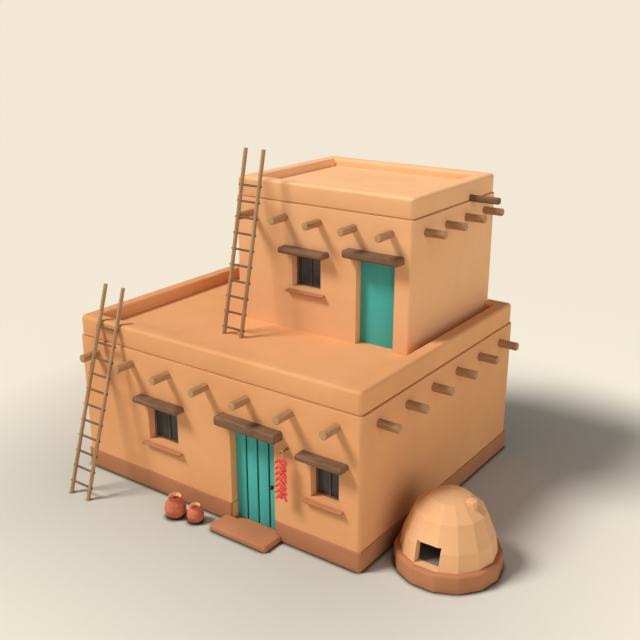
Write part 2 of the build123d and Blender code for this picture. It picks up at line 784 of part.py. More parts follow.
oven_top = oven_rings[-1][1]
hollow_share = 1 - oven_wall / oven_top
oven_hollow = [(max(r - oven_wall, hollow_top_r), height * hollow_share) for r, height in oven_rings]
with BuildPart() as oven_dome:
    add(ring_loft("dome", oven_rings, oven_sides, oven_x, oven_y, oven_base_h))
    add(ring_loft("hollow", oven_hollow, oven_sides, oven_x, oven_y, oven_base_h), mode=Mode.SUBTRACT)
    with BuildSketch(Plane.XZ.offset(-oven_y)):
        with Locations((oven_x, oven_base_h + mouth_sill)):
            Rectangle(mouth_w, mouth_h - mouth_sill, align=(Align.CENTER, Align.MIN))
    extrude(amount=2 * oven_base_r, mode=Mode.SUBTRACT)
    with BuildSketch(Plane.XY.offset(oven_base_h + plug_top)):
        with Locations((oven_x + plug_reach, oven_y)):
            RegularPolygon(plug_r + plug_fit, plug_sides)
    extrude(amount=-plug_len, mode=Mode.SUBTRACT)
finish(oven_dome, "oven_dome")

# ---- clay pots ----------------------------------------------------------------------
for name, beside, out, scale in (
    ("pot_large", pot_large_beside, pot_large_out, 1.0),
    ("pot_small", pot_small_beside, pot_small_out, pot_small_scale),
):
    spot = door_left - beside, plinth_y - out, 0.0
    with BuildPart() as pot:
        add(ring_loft(name, pot_rings, pot_sides, *spot, scale))
        inner = [(radius - pot_wall, height) for radius, height in pot_rings]
        inner[0] = (inner[0][0], pot_wall)
        add(ring_loft(name, inner, pot_sides, *spot, scale), mode=Mode.SUBTRACT)
    finish(pot, name)
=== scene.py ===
"""Looks of the adobe house: plaster, timber, painted doors, clay oven, pots and chili string."""

import math
import random

import bmesh
import bpy
import numpy as np
from mathutils import Matrix, Vector


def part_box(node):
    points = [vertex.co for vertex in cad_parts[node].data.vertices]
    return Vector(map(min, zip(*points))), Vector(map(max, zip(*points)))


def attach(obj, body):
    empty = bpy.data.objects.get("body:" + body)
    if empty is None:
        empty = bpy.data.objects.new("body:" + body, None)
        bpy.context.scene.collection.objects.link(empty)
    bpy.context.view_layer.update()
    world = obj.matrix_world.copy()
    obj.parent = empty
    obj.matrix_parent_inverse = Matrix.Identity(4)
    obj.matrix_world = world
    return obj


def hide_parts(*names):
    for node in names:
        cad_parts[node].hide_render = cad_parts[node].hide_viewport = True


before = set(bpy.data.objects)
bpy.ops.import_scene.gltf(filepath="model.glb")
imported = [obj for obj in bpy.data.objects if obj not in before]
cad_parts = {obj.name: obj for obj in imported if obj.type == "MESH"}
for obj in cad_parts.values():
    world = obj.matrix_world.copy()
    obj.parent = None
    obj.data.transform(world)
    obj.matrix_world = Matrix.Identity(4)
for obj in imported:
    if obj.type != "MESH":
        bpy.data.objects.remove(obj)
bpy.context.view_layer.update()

HOUSE = "house"
DOOR = "door"
UP = Vector((0.0, 0.0, 1.0))

# ---- view ---------------------------------------------------------------------------

CAMERA_PLACE = (10.721, -14.279, 9.323)
CAMERA_TURN = 35.583
CAMERA_DIP = 18.982
CAMERA_LENS = 50.0
SENSOR_WIDTH = 36.0
CAMERA_SEES = 400.0


def place_camera():
    """The camera stands off the house's front right corner and looks down at it."""
    data = bpy.data.cameras.new("camera")
    data.lens = CAMERA_LENS
    data.sensor_width = SENSOR_WIDTH
    data.clip_end = CAMERA_SEES
    camera = bpy.data.objects.new("camera", data)
    camera.location = CAMERA_PLACE
    camera.rotation_euler = (math.radians(90.0 - CAMERA_DIP), 0.0, math.radians(CAMERA_TURN))
    bpy.context.collection.objects.link(camera)
    bpy.context.scene.camera = camera


# ---- materials ----------------------------------------------------------------------

# Where the oven's fire burns, and how far round it the clay is a sooty grey, partly soot and partly
# painted shade inside the mouth.
OVEN_FIRE = (4.607, -1.788, 0.36)
HEARTH_RADIUS = 0.72
# A wave texture of scale 1 has a ring every 0.314 m.
RING_AT_SCALE_ONE = 0.314


def paint(red, green, blue):
    """A colour given in 0-255 display values, as the linear colour that shaders take."""
    linear = []
    for value in (red, green, blue):
        share = value / 255.0
        if share <= 0.04045:
            linear.append(share / 12.92)
        else:
            linear.append(((share + 0.055) / 1.055) ** 2.4)
    return (*linear, 1.0)


class Recipe:
    """One material's node tree, with short calls for the nodes that it needs."""

    def __init__(self, name, roughness=0.9, specular=0.25):
        self.material = bpy.data.materials.new(name)
        self.material.use_nodes = True
        self.tree = self.material.node_tree
        self.shader = self.tree.nodes["Principled BSDF"]
        self.shader.inputs["Roughness"].default_value = roughness
        self.shader.inputs["Specular IOR Level"].default_value = specular

    def add(self, kind, inputs=None, **settings):
        node = self.tree.nodes.new(kind)
        for key, value in settings.items():
            setattr(node, key, value)
        for key, value in (inputs or {}).items():
            if isinstance(value, bpy.types.NodeSocket):
                self.tree.links.new(value, node.inputs[key])
            else:
                node.inputs[key].default_value = value
        return node

    def place(self):
        """Where a point of the surface is, in metres."""
        return self.add("ShaderNodeTexCoord").outputs["Object"]

    def own(self, name):
        """A coordinate that the piece's mesh carries, such as the way its grain runs."""
        return self.add("ShaderNodeAttribute", attribute_name=name).outputs["Vector"]

    def stretch(self, coords, scale):
        """Coordinates drawn finer along each axis by its scale."""
        return self.add("ShaderNodeMapping", {"Vector": coords, "Scale": scale}).outputs["Vector"]

    def clouds(self, coords, scale, detail=3.0, rough=0.55):
        """Soft noise, scale patches to the metre."""
        noise = self.add(
            "ShaderNodeTexNoise",
            {"Vector": coords, "Scale": scale, "Detail": detail, "Roughness": rough},
        )
        return noise.outputs["Fac"]

    def spots(self, coords, scale):
        """The distance from the nearest of scattered points, scale of them to the metre."""
        cells = self.add("ShaderNodeTexVoronoi", {"Vector": coords, "Scale": scale})
        return cells.outputs["Distance"]

    def band(self, value, low, high, out_low=0.0, out_high=1.0):
        """value taken from low..high to out_low..out_high, and held there."""
        ends = {"From Min": low, "From Max": high, "To Min": out_low, "To Max": out_high}
        return self.add("ShaderNodeMapRange", {"Value": value, **ends}).outputs["Result"]

    def mix(self, share, first, second):
        """The first colour where share is 0, the second where it is 1."""
        node = self.add("ShaderNodeMix", data_type="RGBA")
        for key, value in ((0, share), (6, first), (7, second)):
            if isinstance(value, bpy.types.NodeSocket):
                self.tree.links.new(value, node.inputs[key])
            else:
                node.inputs[key].default_value = value
        return node.outputs[2]

    def maths(self, operation, first, second):
        return self.add("ShaderNodeMath", {0: first, 1: second}, operation=operation).outputs[0]

    def sum(self, first, second):
        return self.maths("ADD", first, second)

    def less(self, first, second):
        return self.maths("SUBTRACT", first, second)

    def times(self, first, second):
        return self.maths("MULTIPLY", first, second)

    def rings(self, coords, scale, distortion, detail_scale):
        """Rings round the third coordinate's axis, as a tree grows them."""
        wave = self.add(
            "ShaderNodeTexWave",
            {
                "Vector": coords,
                "Scale": scale,
                "Distortion": distortion,
                "Detail": 2.0,
                "Detail Scale": detail_scale,
            },
            wave_type="RINGS",
            rings_direction="Z",
        )
        return wave.outputs["Fac"]

    def colour(self, socket):
        self.tree.links.new(socket, self.shader.inputs["Base Color"])

    def relief(self, height, metres, strength):
        """Bumps up to the given depth in metres."""
        bump = self.add("ShaderNodeBump", {"Height": height, "Distance": metres, "Strength": strength})
        self.tree.links.new(bump.outputs["Normal"], self.shader.inputs["Normal"])

    def sheen_of(self, value, low, high):
        """Roughness that runs from low to high over the pattern."""
        self.tree.links.new(self.band(value, 0.3, 0.7, low, high), self.shader.inputs["Roughness"])


STRAW = paint(232, 190, 136)
# Grey of the hearth round the fire: soot, and painted shade for the inside of the oven's mouth.
SOOT_AND_SHADE = paint(122, 114, 107)
BRICK_LIGHT = paint(182, 123, 84)
BRICK_DEEP = paint(172, 110, 74)
BRICK_STRAW = paint(206, 152, 108)


def earth_plaster(name, light, deep, straw, patch=0.5, fire=None):
    """Hand-laid mud plaster: broad tone changes, trowel patches, sand grain and chopped straw.

    patch is how many broad patches there are to the metre. A fire at the given place turns all
    within HEARTH_RADIUS of it a sooty grey, partly soot and partly painted shade.
    """
    mud = Recipe(name, roughness=0.93, specular=0.18)
    at = mud.place()
    broad = mud.band(mud.clouds(at, patch, 2.0), 0.35, 0.65)
    hand = mud.band(mud.clouds(at, 3.4, 4.0), 0.32, 0.68)
    sand = mud.clouds(at, 120.0, 3.0, 0.6)
    tone = mud.mix(mud.times(broad, 0.75), light, deep)
    tone = mud.mix(mud.times(hand, 0.22), tone, deep)
    flecks = mud.band(mud.spots(mud.stretch(at, (26.0, 40.0, 60.0)), 1.0), 0.10, 0.16, 0.30, 0.0)
    tone = mud.mix(flecks, tone, straw)
    grit = mud.band(mud.spots(at, 75.0), 0.10, 0.18, 0.20, 0.0)
    tone = mud.mix(grit, tone, deep)
    if fire is not None:
        # Soot round the fire, its grey also painted shade.
        away = mud.add("ShaderNodeVectorMath", {0: at, 1: fire}, operation="DISTANCE").outputs["Value"]
        edge = mud.sum(away, mud.times(hand, 0.04))
        sooted_and_shaded = mud.band(edge, HEARTH_RADIUS - 0.02, HEARTH_RADIUS + 0.05, 0.94, 0.0)
        tone = mud.mix(sooted_and_shaded, tone, SOOT_AND_SHADE)
    mud.colour(tone)
    mud.relief(mud.sum(sand, mud.times(hand, 1.6)), 0.0022, 0.55)
    mud.sheen_of(hand, 0.88, 0.97)
    return mud.material


def timber(name, light, deep, ring=0.009, worn=None):
    """Wood along the piece's own grain: growth rings, long streaks and fine drying cracks.

    ring is the width of a growth ring, and worn the tone of the weathered patches.
    """
    wood = Recipe(name, roughness=0.72, specular=0.3)
    grain = wood.own("grain")
    streak = wood.clouds(wood.stretch(grain, (38.0, 38.0, 1.6)), 1.0, 5.0, 0.6)
    rings = wood.rings(grain, RING_AT_SCALE_ONE / ring, 2.4, 1.3)
    cracks = wood.clouds(wood.stretch(grain, (95.0, 95.0, 2.2)), 1.0, 2.0, 0.5)
    crack = wood.band(cracks, 0.30, 0.38, 1.0, 0.0)
    weather = wood.clouds(grain, 2.1, 3.0)
    tone = wood.mix(wood.band(streak, 0.30, 0.72), light, deep)
    tone = wood.mix(wood.times(rings, 0.28), tone, deep)
    if worn is not None:
        tone = wood.mix(wood.band(weather, 0.42, 0.70, 0.0, 0.55), tone, worn)
    tone = wood.mix(wood.times(crack, 0.55), tone, paint(38, 26, 18))
    wood.colour(tone)
    wood.relief(wood.less(wood.sum(streak, rings), crack), 0.003, 0.6)
    wood.sheen_of(streak, 0.64, 0.84)
    return wood.material


def end_grain(name, light, deep):
    """Sawn log ends: close rings round the heart and short cracks out from it."""
    wood = Recipe(name, roughness=0.86, specular=0.2)
    grain = wood.own("grain")
    rings = wood.rings(grain, 26.0, 1.1, 2.0)
    pores = wood.clouds(grain, 160.0, 2.0)
    tone = wood.mix(wood.times(rings, 0.45), light, deep)
    tone = wood.mix(wood.band(pores, 0.50, 0.75, 0.0, 0.35), tone, deep)
    wood.colour(tone)
    wood.relief(wood.sum(rings, pores), 0.0016, 0.5)
    return wood.material


def brushed_paint(name, fresh, faded, bare):
    """Matt paint on boards: brush streaks along the wood, faded patches and rubbed edges."""
    coat = Recipe(name, roughness=0.6, specular=0.35)
    grain = coat.own("grain")
    brush = coat.clouds(coat.stretch(grain, (70.0, 70.0, 1.2)), 1.0, 4.0, 0.6)
    fade = coat.clouds(grain, 1.7, 3.0)
    chips = coat.clouds(coat.stretch(grain, (30.0, 30.0, 9.0)), 1.0, 4.0, 0.65)
    rubbed = coat.add("ShaderNodeAttribute", attribute_name="rubbed").outputs["Fac"]
    tone = coat.mix(coat.band(brush, 0.30, 0.72, 0.0, 0.70), fresh, faded)
    tone = coat.mix(coat.band(fade, 0.35, 0.70, 0.0, 0.50), tone, faded)
    worn_off = coat.times(rubbed, coat.band(chips, 0.46, 0.58, 0.0, 0.7))
    tone = coat.mix(worn_off, tone, bare)
    coat.colour(tone)
    coat.relief(brush, 0.0016, 0.5)
    coat.sheen_of(fade, 0.52, 0.70)
    return coat.material


def fired_clay(name, light, deep, smoke):
    """Fired clay: flame clouds, fine turning lines and a dry sandy face."""
    clay = Recipe(name, roughness=0.78, specular=0.3)
    at = clay.place()
    cloud = clay.band(clay.clouds(at, 5.5, 3.0), 0.35, 0.66)
    lines = clay.clouds(clay.stretch(at, (3.0, 3.0, 110.0)), 1.0, 2.0)
    sand = clay.clouds(at, 260.0, 2.0)
    tone = clay.mix(cloud, light, deep)
    tone = clay.mix(clay.band(clay.clouds(at, 2.6, 2.0), 0.62, 0.78, 0.0, 0.35), tone, smoke)
    tone = clay.mix(clay.times(lines, 0.14), tone, deep)
    clay.colour(tone)
    clay.relief(clay.sum(lines, sand), 0.0012, 0.5)
    clay.sheen_of(cloud, 0.70, 0.84)
    return clay.material


def forged_iron():
    """Hammered iron with a little rust."""
    iron = Recipe("forged_iron", roughness=0.45, specular=0.5)
    iron.shader.inputs["Metallic"].default_value = 0.85
    at = iron.place()
    beaten = iron.spots(at, 70.0)
    rust = iron.band(iron.clouds(at, 24.0, 4.0), 0.56, 0.76, 0.0, 0.4)
    iron.colour(iron.mix(rust, paint(44, 46, 58), paint(70, 50, 42)))
    iron.relief(beaten, 0.0015, 0.6)
    iron.sheen_of(rust, 0.38, 0.62)
    return iron.material


def window_pane():
    """Old drawn glass in front of an unlit room, with the room's darkness painted on the pane as painted
    shade.
    """
    pane = Recipe("window_pane", roughness=0.12, specular=0.5)
    at = pane.place()
    ripple = pane.clouds(at, 7.0, 2.0)
    dust = pane.band(pane.clouds(at, 30.0, 4.0), 0.45, 0.75, 0.0, 0.25)
    # The dark base colour is painted shade of the room behind; the paler tone is dust.
    pane.colour(pane.mix(dust, paint(52, 58, 60), paint(74, 76, 74)))
    pane.relief(ripple, 0.003, 0.12)
    pane.sheen_of(dust, 0.16, 0.28)
    return pane.material


def chili_skin():
    """Sun-dried pods: glossy wrinkled skin, some riper than others."""
    skin = Recipe("chili_skin", roughness=0.38, specular=0.5)
    at = skin.place()
    pod = skin.own("grain")
    wrinkle = skin.clouds(skin.stretch(pod, (90.0, 90.0, 14.0)), 1.0, 3.0)
    ripeness = skin.band(skin.clouds(at, 9.0, 2.0), 0.35, 0.65)
    tone = skin.mix(ripeness, paint(228, 80, 64), paint(196, 52, 42))
    tone = skin.mix(skin.band(wrinkle, 0.58, 0.78, 0.0, 0.4), tone, paint(158, 32, 28))
    skin.colour(tone)
    skin.relief(wrinkle, 0.003, 0.7)
    skin.sheen_of(wrinkle, 0.30, 0.50)
    return skin.material


def twisted_fibre():
    """Plant-fibre string: fine slanting strands."""
    fibre = Recipe("twisted_fibre", roughness=0.9, specular=0.2)
    at = fibre.place()
    strands = fibre.add(
        "ShaderNodeTexWave",
        {"Vector": at, "Scale": 62.0, "Distortion": 0.6, "Detail": 1.0},
        bands_direction="DIAGONAL",
    ).outputs["Fac"]
    hair = fibre.clouds(at, 420.0, 2.0)
    tone = fibre.mix(strands, paint(188, 158, 104), paint(238, 212, 156))
    tone = fibre.mix(fibre.band(hair, 0.5, 0.8, 0.0, 0.4), tone, paint(150, 120, 78))
    fibre.colour(tone)
    fibre.relief(fibre.sum(strands, hair), 0.0015, 0.8)
    return fibre.material


def stem_green():
    """Half-dried stems, green where they are not yet straw."""
    stem = Recipe("stem_green", roughness=0.7, specular=0.3)
    at = stem.place()
    fresh = stem.band(stem.clouds(at, 60.0), 0.35, 0.65)
    stem.colour(stem.mix(fresh, paint(176, 142, 84), paint(128, 118, 62)))
    stem.relief(stem.clouds(at, 300.0, 2.0), 0.001, 0.5)
    return stem.material


FINISHES = {
    "adobe_plaster": earth_plaster("adobe_plaster", paint(224, 161, 108), paint(216, 151, 99), STRAW),
    "adobe_upper": earth_plaster("adobe_upper", paint(232, 176, 126), paint(224, 165, 114), STRAW),
    "terracotta": earth_plaster("terracotta", BRICK_LIGHT, BRICK_DEEP, BRICK_STRAW, patch=0.9),
    "packed_earth": earth_plaster(
        "packed_earth", paint(196, 146, 104), paint(168, 120, 84), STRAW, patch=1.4
    ),
    "oven_clay": earth_plaster("oven_clay", paint(232, 177, 128), paint(226, 168, 117), STRAW, patch=1.3),
    "log_wood": timber("log_wood", paint(190, 142, 98), paint(146, 104, 68)),
    "board_wood": timber("board_wood", paint(176, 126, 84), paint(120, 80, 52), ring=0.014),
    "dark_wood": timber("dark_wood", paint(128, 92, 64), paint(93, 65, 45), worn=paint(144, 106, 75)),
    "pole_wood": timber("pole_wood", paint(190, 150, 106), paint(148, 110, 74)),
    # The backing's near-black green shows through the gaps between the planks as painted shade.
    "door_backing": timber("door_backing", paint(52, 62, 52), paint(26, 34, 30)),
    "teal_paint": brushed_paint(
        "teal_paint", paint(73, 180, 169), paint(62, 164, 153), paint(122, 178, 158)
    ),
    "dark_iron": forged_iron(),
    "window_glass": window_pane(),
    "pot_clay": fired_clay("pot_clay", paint(202, 114, 78), paint(179, 91, 59), paint(142, 79, 54)),
    "string": twisted_fibre(),
    "chili_skin": chili_skin(),
}
# Paler plaster for the upper roof deck and the upper parapet's top and inner faces: painted light.
ROOF_PAINTED_LIGHT = earth_plaster("roof_painted_light", paint(250, 192, 141), paint(243, 182, 130), STRAW, patch=0.8)
# Near-white clay for the dome's inside round the fire: painted light in the oven's mouth.
DOME_INSIDE_PAINTED_LIGHT = earth_plaster(
    "dome_inside_painted_light", paint(234, 228, 222), paint(222, 216, 208), paint(236, 230, 222), patch=2.0
)
# Darker plaster for the walls' top ledge under the parapets: painted shade.
LEDGE_SHADE = earth_plaster(
    "ledge_painted_shade", paint(204, 144, 96), paint(194, 134, 88), paint(214, 166, 118), patch=0.9
)
# Darker clay for the plinth's top faces: painted shade.
PLINTH_TOP_SHADE = earth_plaster(
    "plinth_top_painted_shade", paint(172, 116, 79), paint(162, 104, 70), paint(190, 140, 98), patch=0.9
)
HEARTH = earth_plaster("hearth_clay", BRICK_LIGHT, BRICK_DEEP, BRICK_STRAW, patch=0.9, fire=OVEN_FIRE)
POT_SLIP = fired_clay("pot_slip", paint(250, 190, 148), paint(240, 172, 130), paint(226, 156, 114))
LOG_END = end_grain("log_end", paint(184, 146, 100), paint(150, 114, 76))
DARK_END = end_grain("dark_end", paint(134, 96, 68), paint(100, 68, 48))
STEM = stem_green()

# ---- shaping ------------------------------------------------------------------------

SAME_POINT = 2e-5
SAME_PLANE = math.radians(0.5)
CENTRED = (0.0, 0.0)
# How squarely a sawn end looks along its stick, at the least.
SAWN_FACING = 0.9
# How far the grain moves on from one stick to the next, so that no two look the same.
GRAIN_STEP = 3.7


def merged(shape):
    """The shape with its doubled points joined and its triangles merged into flat faces."""
    bmesh.ops.remove_doubles(shape, verts=shape.verts, dist=SAME_POINT)
    bmesh.ops.dissolve_limit(shape, angle_limit=SAME_PLANE, verts=shape.verts, edges=shape.edges)
    return shape


def welded(node):
    """The named CAD node's mesh in a bmesh."""
    shape = bmesh.new()
    shape.from_mesh(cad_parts[node].data)
    return merged(shape)


def as_mesh(name, shape):
    mesh = bpy.data.meshes.new(name)
    shape.to_mesh(mesh)
    shape.free()
    return mesh


def united(nodes):
    """The named CAD nodes as one shell, with the faces between them taken out."""
    parts = [bpy.data.objects.new(node, as_mesh(node, welded(node))) for node in nodes]
    for part in parts:
        bpy.context.collection.objects.link(part)
    for part in parts[1:]:
        join = parts[0].modifiers.new("join", "BOOLEAN")
        join.operation = "UNION"
        join.solver = "EXACT"
        join.object = part
    seen = parts[0].evaluated_get(bpy.context.evaluated_depsgraph_get())
    mesh = bpy.data.meshes.new_from_object(seen)
    shape = bmesh.new()
    shape.from_mesh(mesh)
    for part in parts:
        bpy.data.objects.remove(part)
    bpy.data.meshes.remove(mesh)
    return merged(shape)


def rounded(shape, radius, steps=3, turn=30.0, choose=None):
    """Rounds the outward edges that turn by more than the given angle."""
    edges = [
        edge
        for edge in shape.edges
        if len(edge.link_faces) == 2
        and edge.is_convex
        and edge.calc_face_angle() > math.radians(turn)
        and (choose is None or choose(edge))
    ]
    if edges:
        bmesh.ops.bevel(
            shape,
            geom=edges,
            offset=radius,
            offset_type="OFFSET",
            segments=steps,
            profile=0.5,
            affect="EDGES",
            clamp_overlap=False,
            material=-1,
        )
    return shape


def middle(edge):
    """The point half way along an edge."""
    return (edge.verts[0].co + edge.verts[1].co) / 2.0


def faces_in(face, centre):
    """How squarely a face looks at the upright line through a centre, from 1 to -1."""
    inward = centre - face.calc_center_median()
    inward.z = 0.0
    return face.normal.dot(inward.normalized())


def clear_of(nodes):
    """A test that an edge keeps out of the boxes of the named nodes."""
    gap = 0.006
    boxes = [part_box(node) for node in nodes]

    def test(edge):
        at = middle(edge)
        for low, high in boxes:
            if all(low[i] - gap <= at[i] <= high[i] + gap for i in range(3)):
                return False
        return True

    return test


def islands(shape):
    """The separate solids of a shape, as lists of vertices, in the same order on each run."""
    seen = set()
    found = []
    for start in shape.verts:
        if start in seen:
            continue
        seen.add(start)
        group = [start]
        for vert in group:
            for edge in vert.link_edges:
                other = edge.other_vert(vert)
                if other not in seen:
                    seen.add(other)
                    group.append(other)
        found.append(group)
    found.sort(key=lambda g: tuple(round(sum(v.co[i] for v in g) / len(g), 3) for i in range(3)))
    return found


def set_grain(shape, heart=CENTRED, ends=None):
    """Gives each stick its own grain coordinates: across, across and along its length.

    heart is where the stick lies from the tree's heart, and ends the material of sawn ends.
    Each stick's grain runs towards plus on the axis that it is longest on.
    """
    layer = shape.verts.layers.float_vector.new("grain")
    for count, group in enumerate(islands(shape)):
        points = np.array([vert.co for vert in group])
        centre = (points.max(0) + points.min(0)) / 2.0
        along = Vector(np.linalg.svd(points - points.mean(0), full_matrices=False)[2][0])
        if max(along, key=abs) < 0.0:
            along.negate()
        side = along.cross(UP)
        if side.length < 0.2:
            side = along.cross(Vector((0.0, 1.0, 0.0)))
        side.normalize()
        rise = side.cross(along)
        for vert in group:
            gap = vert.co - Vector(centre)
            across = (gap.dot(side) + heart[0], gap.dot(rise) + heart[1])
            vert[layer] = (*across, gap.dot(along) + GRAIN_STEP * count)
        if ends is not None:
            for face in {face for vert in group for face in vert.link_faces}:
                if abs(face.normal.dot(along)) > SAWN_FACING:
                    face.material_index = ends


def finished(name, shape, body, materials, stands_for=(), soft=38.0):
    """The piece made of a shape, on its body, with its finish.

    It is smooth over edges that turn by less than soft degrees.
    """
    for face in shape.faces:
        face.smooth = True
    for edge in shape.edges:
        edge.smooth = len(edge.link_faces) != 2 or edge.calc_face_angle() < math.radians(soft)
    item = bpy.data.objects.new(name, as_mesh(name, shape))
    for material in materials:
        item.data.materials.append(material)
    bpy.context.collection.objects.link(item)
    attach(item, body)
    if stands_for:
        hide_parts(*stands_for)
    return item


# ---- plastered walls and roofs ------------------------------------------------------

WALL_ROUND = 0.026
PARAPET_FOOT_ROUND = 0.032
PLINTH_ROUND = 0.022
AT_LEVEL = 0.002


def on_outside(low, high):
    """A test that an edge lies in one of the outer side faces of a box."""
    tight = 0.0015

    def test(edge):
        at = middle(edge)
        return any(min(abs(at[i] - low[i]), abs(at[i] - high[i])) < tight for i in (0, 1))

    return test


def plastered_shell(name, nodes, timbers, slot):
    """One storey's walls as one plaster shell, soft at its top edge and at its openings, with painted
    shade on its top ledge.
    """
    shape = united(nodes)
    low = Vector(map(min, *[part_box(node)[0] for node in nodes]))
    high = Vector(map(max, *[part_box(node)[1] for node in nodes]))
    outside = on_outside(low, high)
    clear = clear_of(timbers)

    def soft(edge):
        return outside(edge) and clear(edge) and middle(edge).z > low.z + AT_LEVEL

    rounded(shape, WALL_ROUND, choose=soft)
    # Upward faces at the top of the walls take the darker plaster as painted shade.
    for face in shape.faces:
        if face.normal.z > 0.5 and face.calc_center_median().z > high.z - 0.1:
            face.material_index = 1
    finished(name, shape, HOUSE, [FINISHES[slot], LEDGE_SHADE], nodes)


def build_walls():
    plastered_shell(
        "ground_walls",
        ["front_wall_left", "front_wall_head", "front_wall_right", "left_wall", "right_wall", "back_wall"],
        ["vigas_front", "vigas_right", "door_lintel", "window_lintels", "window_sills", "threshold"],
        "adobe_plaster",
    )
    upper_timbers = ["upper_vigas_front", "upper_vigas_right", "upper_door_lintel", "side_beam"]
    plastered_shell(
        "upper_walls",
        ["upper_front_wall", "upper_back_wall", "upper_left_wall", "upper_right_wall"],
        upper_timbers + ["window_lintels", "window_sills"],
        "adobe_upper",
    )


def build_parapets():
    """Parapets that overhang the walls a little, the upper one painted paler on its top and inside as
    painted light.
    """
    for name, slot in (("roof_parapet", "adobe_plaster"), ("upper_parapet", "adobe_upper")):
        shape = welded(name)
        low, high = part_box(name)
        rounded(shape, PARAPET_FOOT_ROUND, choose=lambda edge: middle(edge).z < low.z + AT_LEVEL)
        # The upper parapet's top and inner faces take the paler plaster as painted light.
        if slot == "adobe_upper":
            for face in shape.faces:
                inner = face.normal.z > -0.1 and faces_in(face, (low + high) / 2.0) > 0.3
                if face.normal.z > 0.5 or inner:
                    face.material_index = 1
        finished(name + "_plaster", shape, HOUSE, [FINISHES[slot], ROOF_PAINTED_LIGHT], [name])


def build_earthwork():
    """Plinth, doorstep and sills, with their edges worn round, and painted shade on the plinth's top."""
    plinths = ["plinth_front", "plinth_right", "plinth_back", "plinth_left"]
    right, _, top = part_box("plinth_front")[1]
    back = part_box("plinth_back")[1].y
    left_jamb, right_jamb = (corner.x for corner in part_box("threshold"))

    def at_jamb(place):
        return min(abs(place.x - left_jamb), abs(place.x - right_jamb)) < AT_LEVEL and place.y < 0.0

    def worn(edge):
        at = middle(edge)
        outer = max(abs(at.x) / right, abs(at.y) / back) > 0.985
        if at.z > top - AT_LEVEL or (at.z < AT_LEVEL and outer):
            return True
        return at_jamb(at) and outer and abs(edge.verts[0].co.z - edge.verts[1].co.z) > 0.1

    shape = rounded(united(plinths), PLINTH_ROUND, choose=worn)
    # The plinth's upward faces take the darker clay as painted shade; its ends at the door jambs take wall
    # plaster.
    for face in shape.faces:
        if face.normal.z > 0.5:
            face.material_index = 2
        elif abs(face.normal.x) > 0.99 and at_jamb(face.calc_center_median()):
            face.material_index = 1
    finishes = [FINISHES["terracotta"], FINISHES["adobe_plaster"], PLINTH_TOP_SHADE]
    finished("plinth_band", shape, HOUSE, finishes, plinths)
    for name, radius in (("doorstep", 0.018), ("window_sills", 0.012), ("threshold", 0.006)):
        shape = rounded(welded(name), radius)
        finished(name + "_earth", shape, HOUSE, [FINISHES["terracotta"]], [name])


# ---- timber -------------------------------------------------------------------------


def sticks(name, slot, radius, sawn, heart=CENTRED, steps=2):
    """A node's logs, poles or beams with eased edges, their own grain and sawn ends."""
    shape = rounded(welded(name), radius, steps=steps, turn=20.0)
    set_grain(shape, heart, ends=1)
    finished(name + "_timber", shape, HOUSE, [FINISHES[slot], sawn], [name], soft=25.0)


def build_timber():
    for name in ("vigas_front", "vigas_right", "upper_vigas_front", "upper_vigas_right"):
        sticks(name, "log_wood", 0.004, LOG_END)
    for name in ("door_lintel", "upper_door_lintel", "window_lintels", "side_beam"):
        ease = 0.009 if name == "side_beam" else 0.011
        sticks(name, "dark_wood", ease, DARK_END, heart=(0.05, 0.11), steps=3)
    for name in ("ladder_ground_rails", "ladder_roof_rails"):
        sticks(name, "pole_wood", 0.003, LOG_END)
    for name in ("ladder_ground_rungs", "ladder_roof_rungs"):
        sticks(name, "dark_wood", 0.002, DARK_END)
    sticks("ristra_peg", "dark_wood", 0.003, DARK_END)
    shape = rounded(welded("window_frames"), 0.003, steps=2)
    set_grain(shape, (0.03, 0.02))
    finished("window_frames_timber", shape, HOUSE, [FINISHES["dark_wood"]], ["window_frames"])


def build_ceiling_boards():
    """Boards laid side by side over the logs, with open joints between them."""
    board = 0.2
    joint = 0.006
    for name in ("ceiling_boards", "upper_ceiling_boards"):
        low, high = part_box(name)
        span = high - low
        count = round(span.x / board)
        pitch = span.x / count
        shape = bmesh.new()
        for i in range(count):
            made = bmesh.ops.create_cube(shape, size=1.0)["verts"]
            bmesh.ops.scale(shape, vec=(pitch - joint, span.y, span.z), verts=made)
            centre = (low.x + (i + 0.5) * pitch, (low.y + high.y) / 2.0, (low.z + high.z) / 2.0)
            bmesh.ops.translate(shape, vec=centre, verts=made)
        rounded(shape, 0.003, steps=1)
        set_grain(shape, (0.06, 0.04))
        finished(name + "_laid", shape, HOUSE, [FINISHES["board_wood"]], [name])


# ---- doors --------------------------------------------------------------------------


def rub_edges(shape):
    """Marks the painted edges that hands and weather rub: 1 at a board's rim, 0 inside it."""
    reach = 0.005
    layer = shape.verts.layers.float.new("rubbed")
    for group in islands(shape):
        low = Vector(tuple(min(v.co[i] for v in group) for i in range(3)))
        high = Vector(tuple(max(v.co[i] for v in group) for i in range(3)))
        for vert in group:
            rim = min(vert.co.x - low.x, high.x - vert.co.x, vert.co.z - low.z, high.z - vert.co.z)
            vert[layer] = max(0.0, 1.0 - rim / reach)


def build_doors():
    """The painted planks on their backing leaf, which swing, and the fixed upper door."""
    for name, kind, body, slot, radius, steps in (
        ("door_planks", "painted", DOOR, "teal_paint", 0.006, 3),
        # The backing leaf's dark tone is painted shade in the plank gaps.
        ("door_leaf", "boards", DOOR, "door_backing", 0.002, 1),
        ("upper_door", "painted", HOUSE, "teal_paint", 0.006, 3),
    ):
        shape = rounded(welded(name), radius, steps=steps)
        set_grain(shape, (0.08, 0.05))
        if kind == "painted":
            rub_edges(shape)
        finished(name + "_" + kind, shape, body, [FINISHES[slot]], [name])


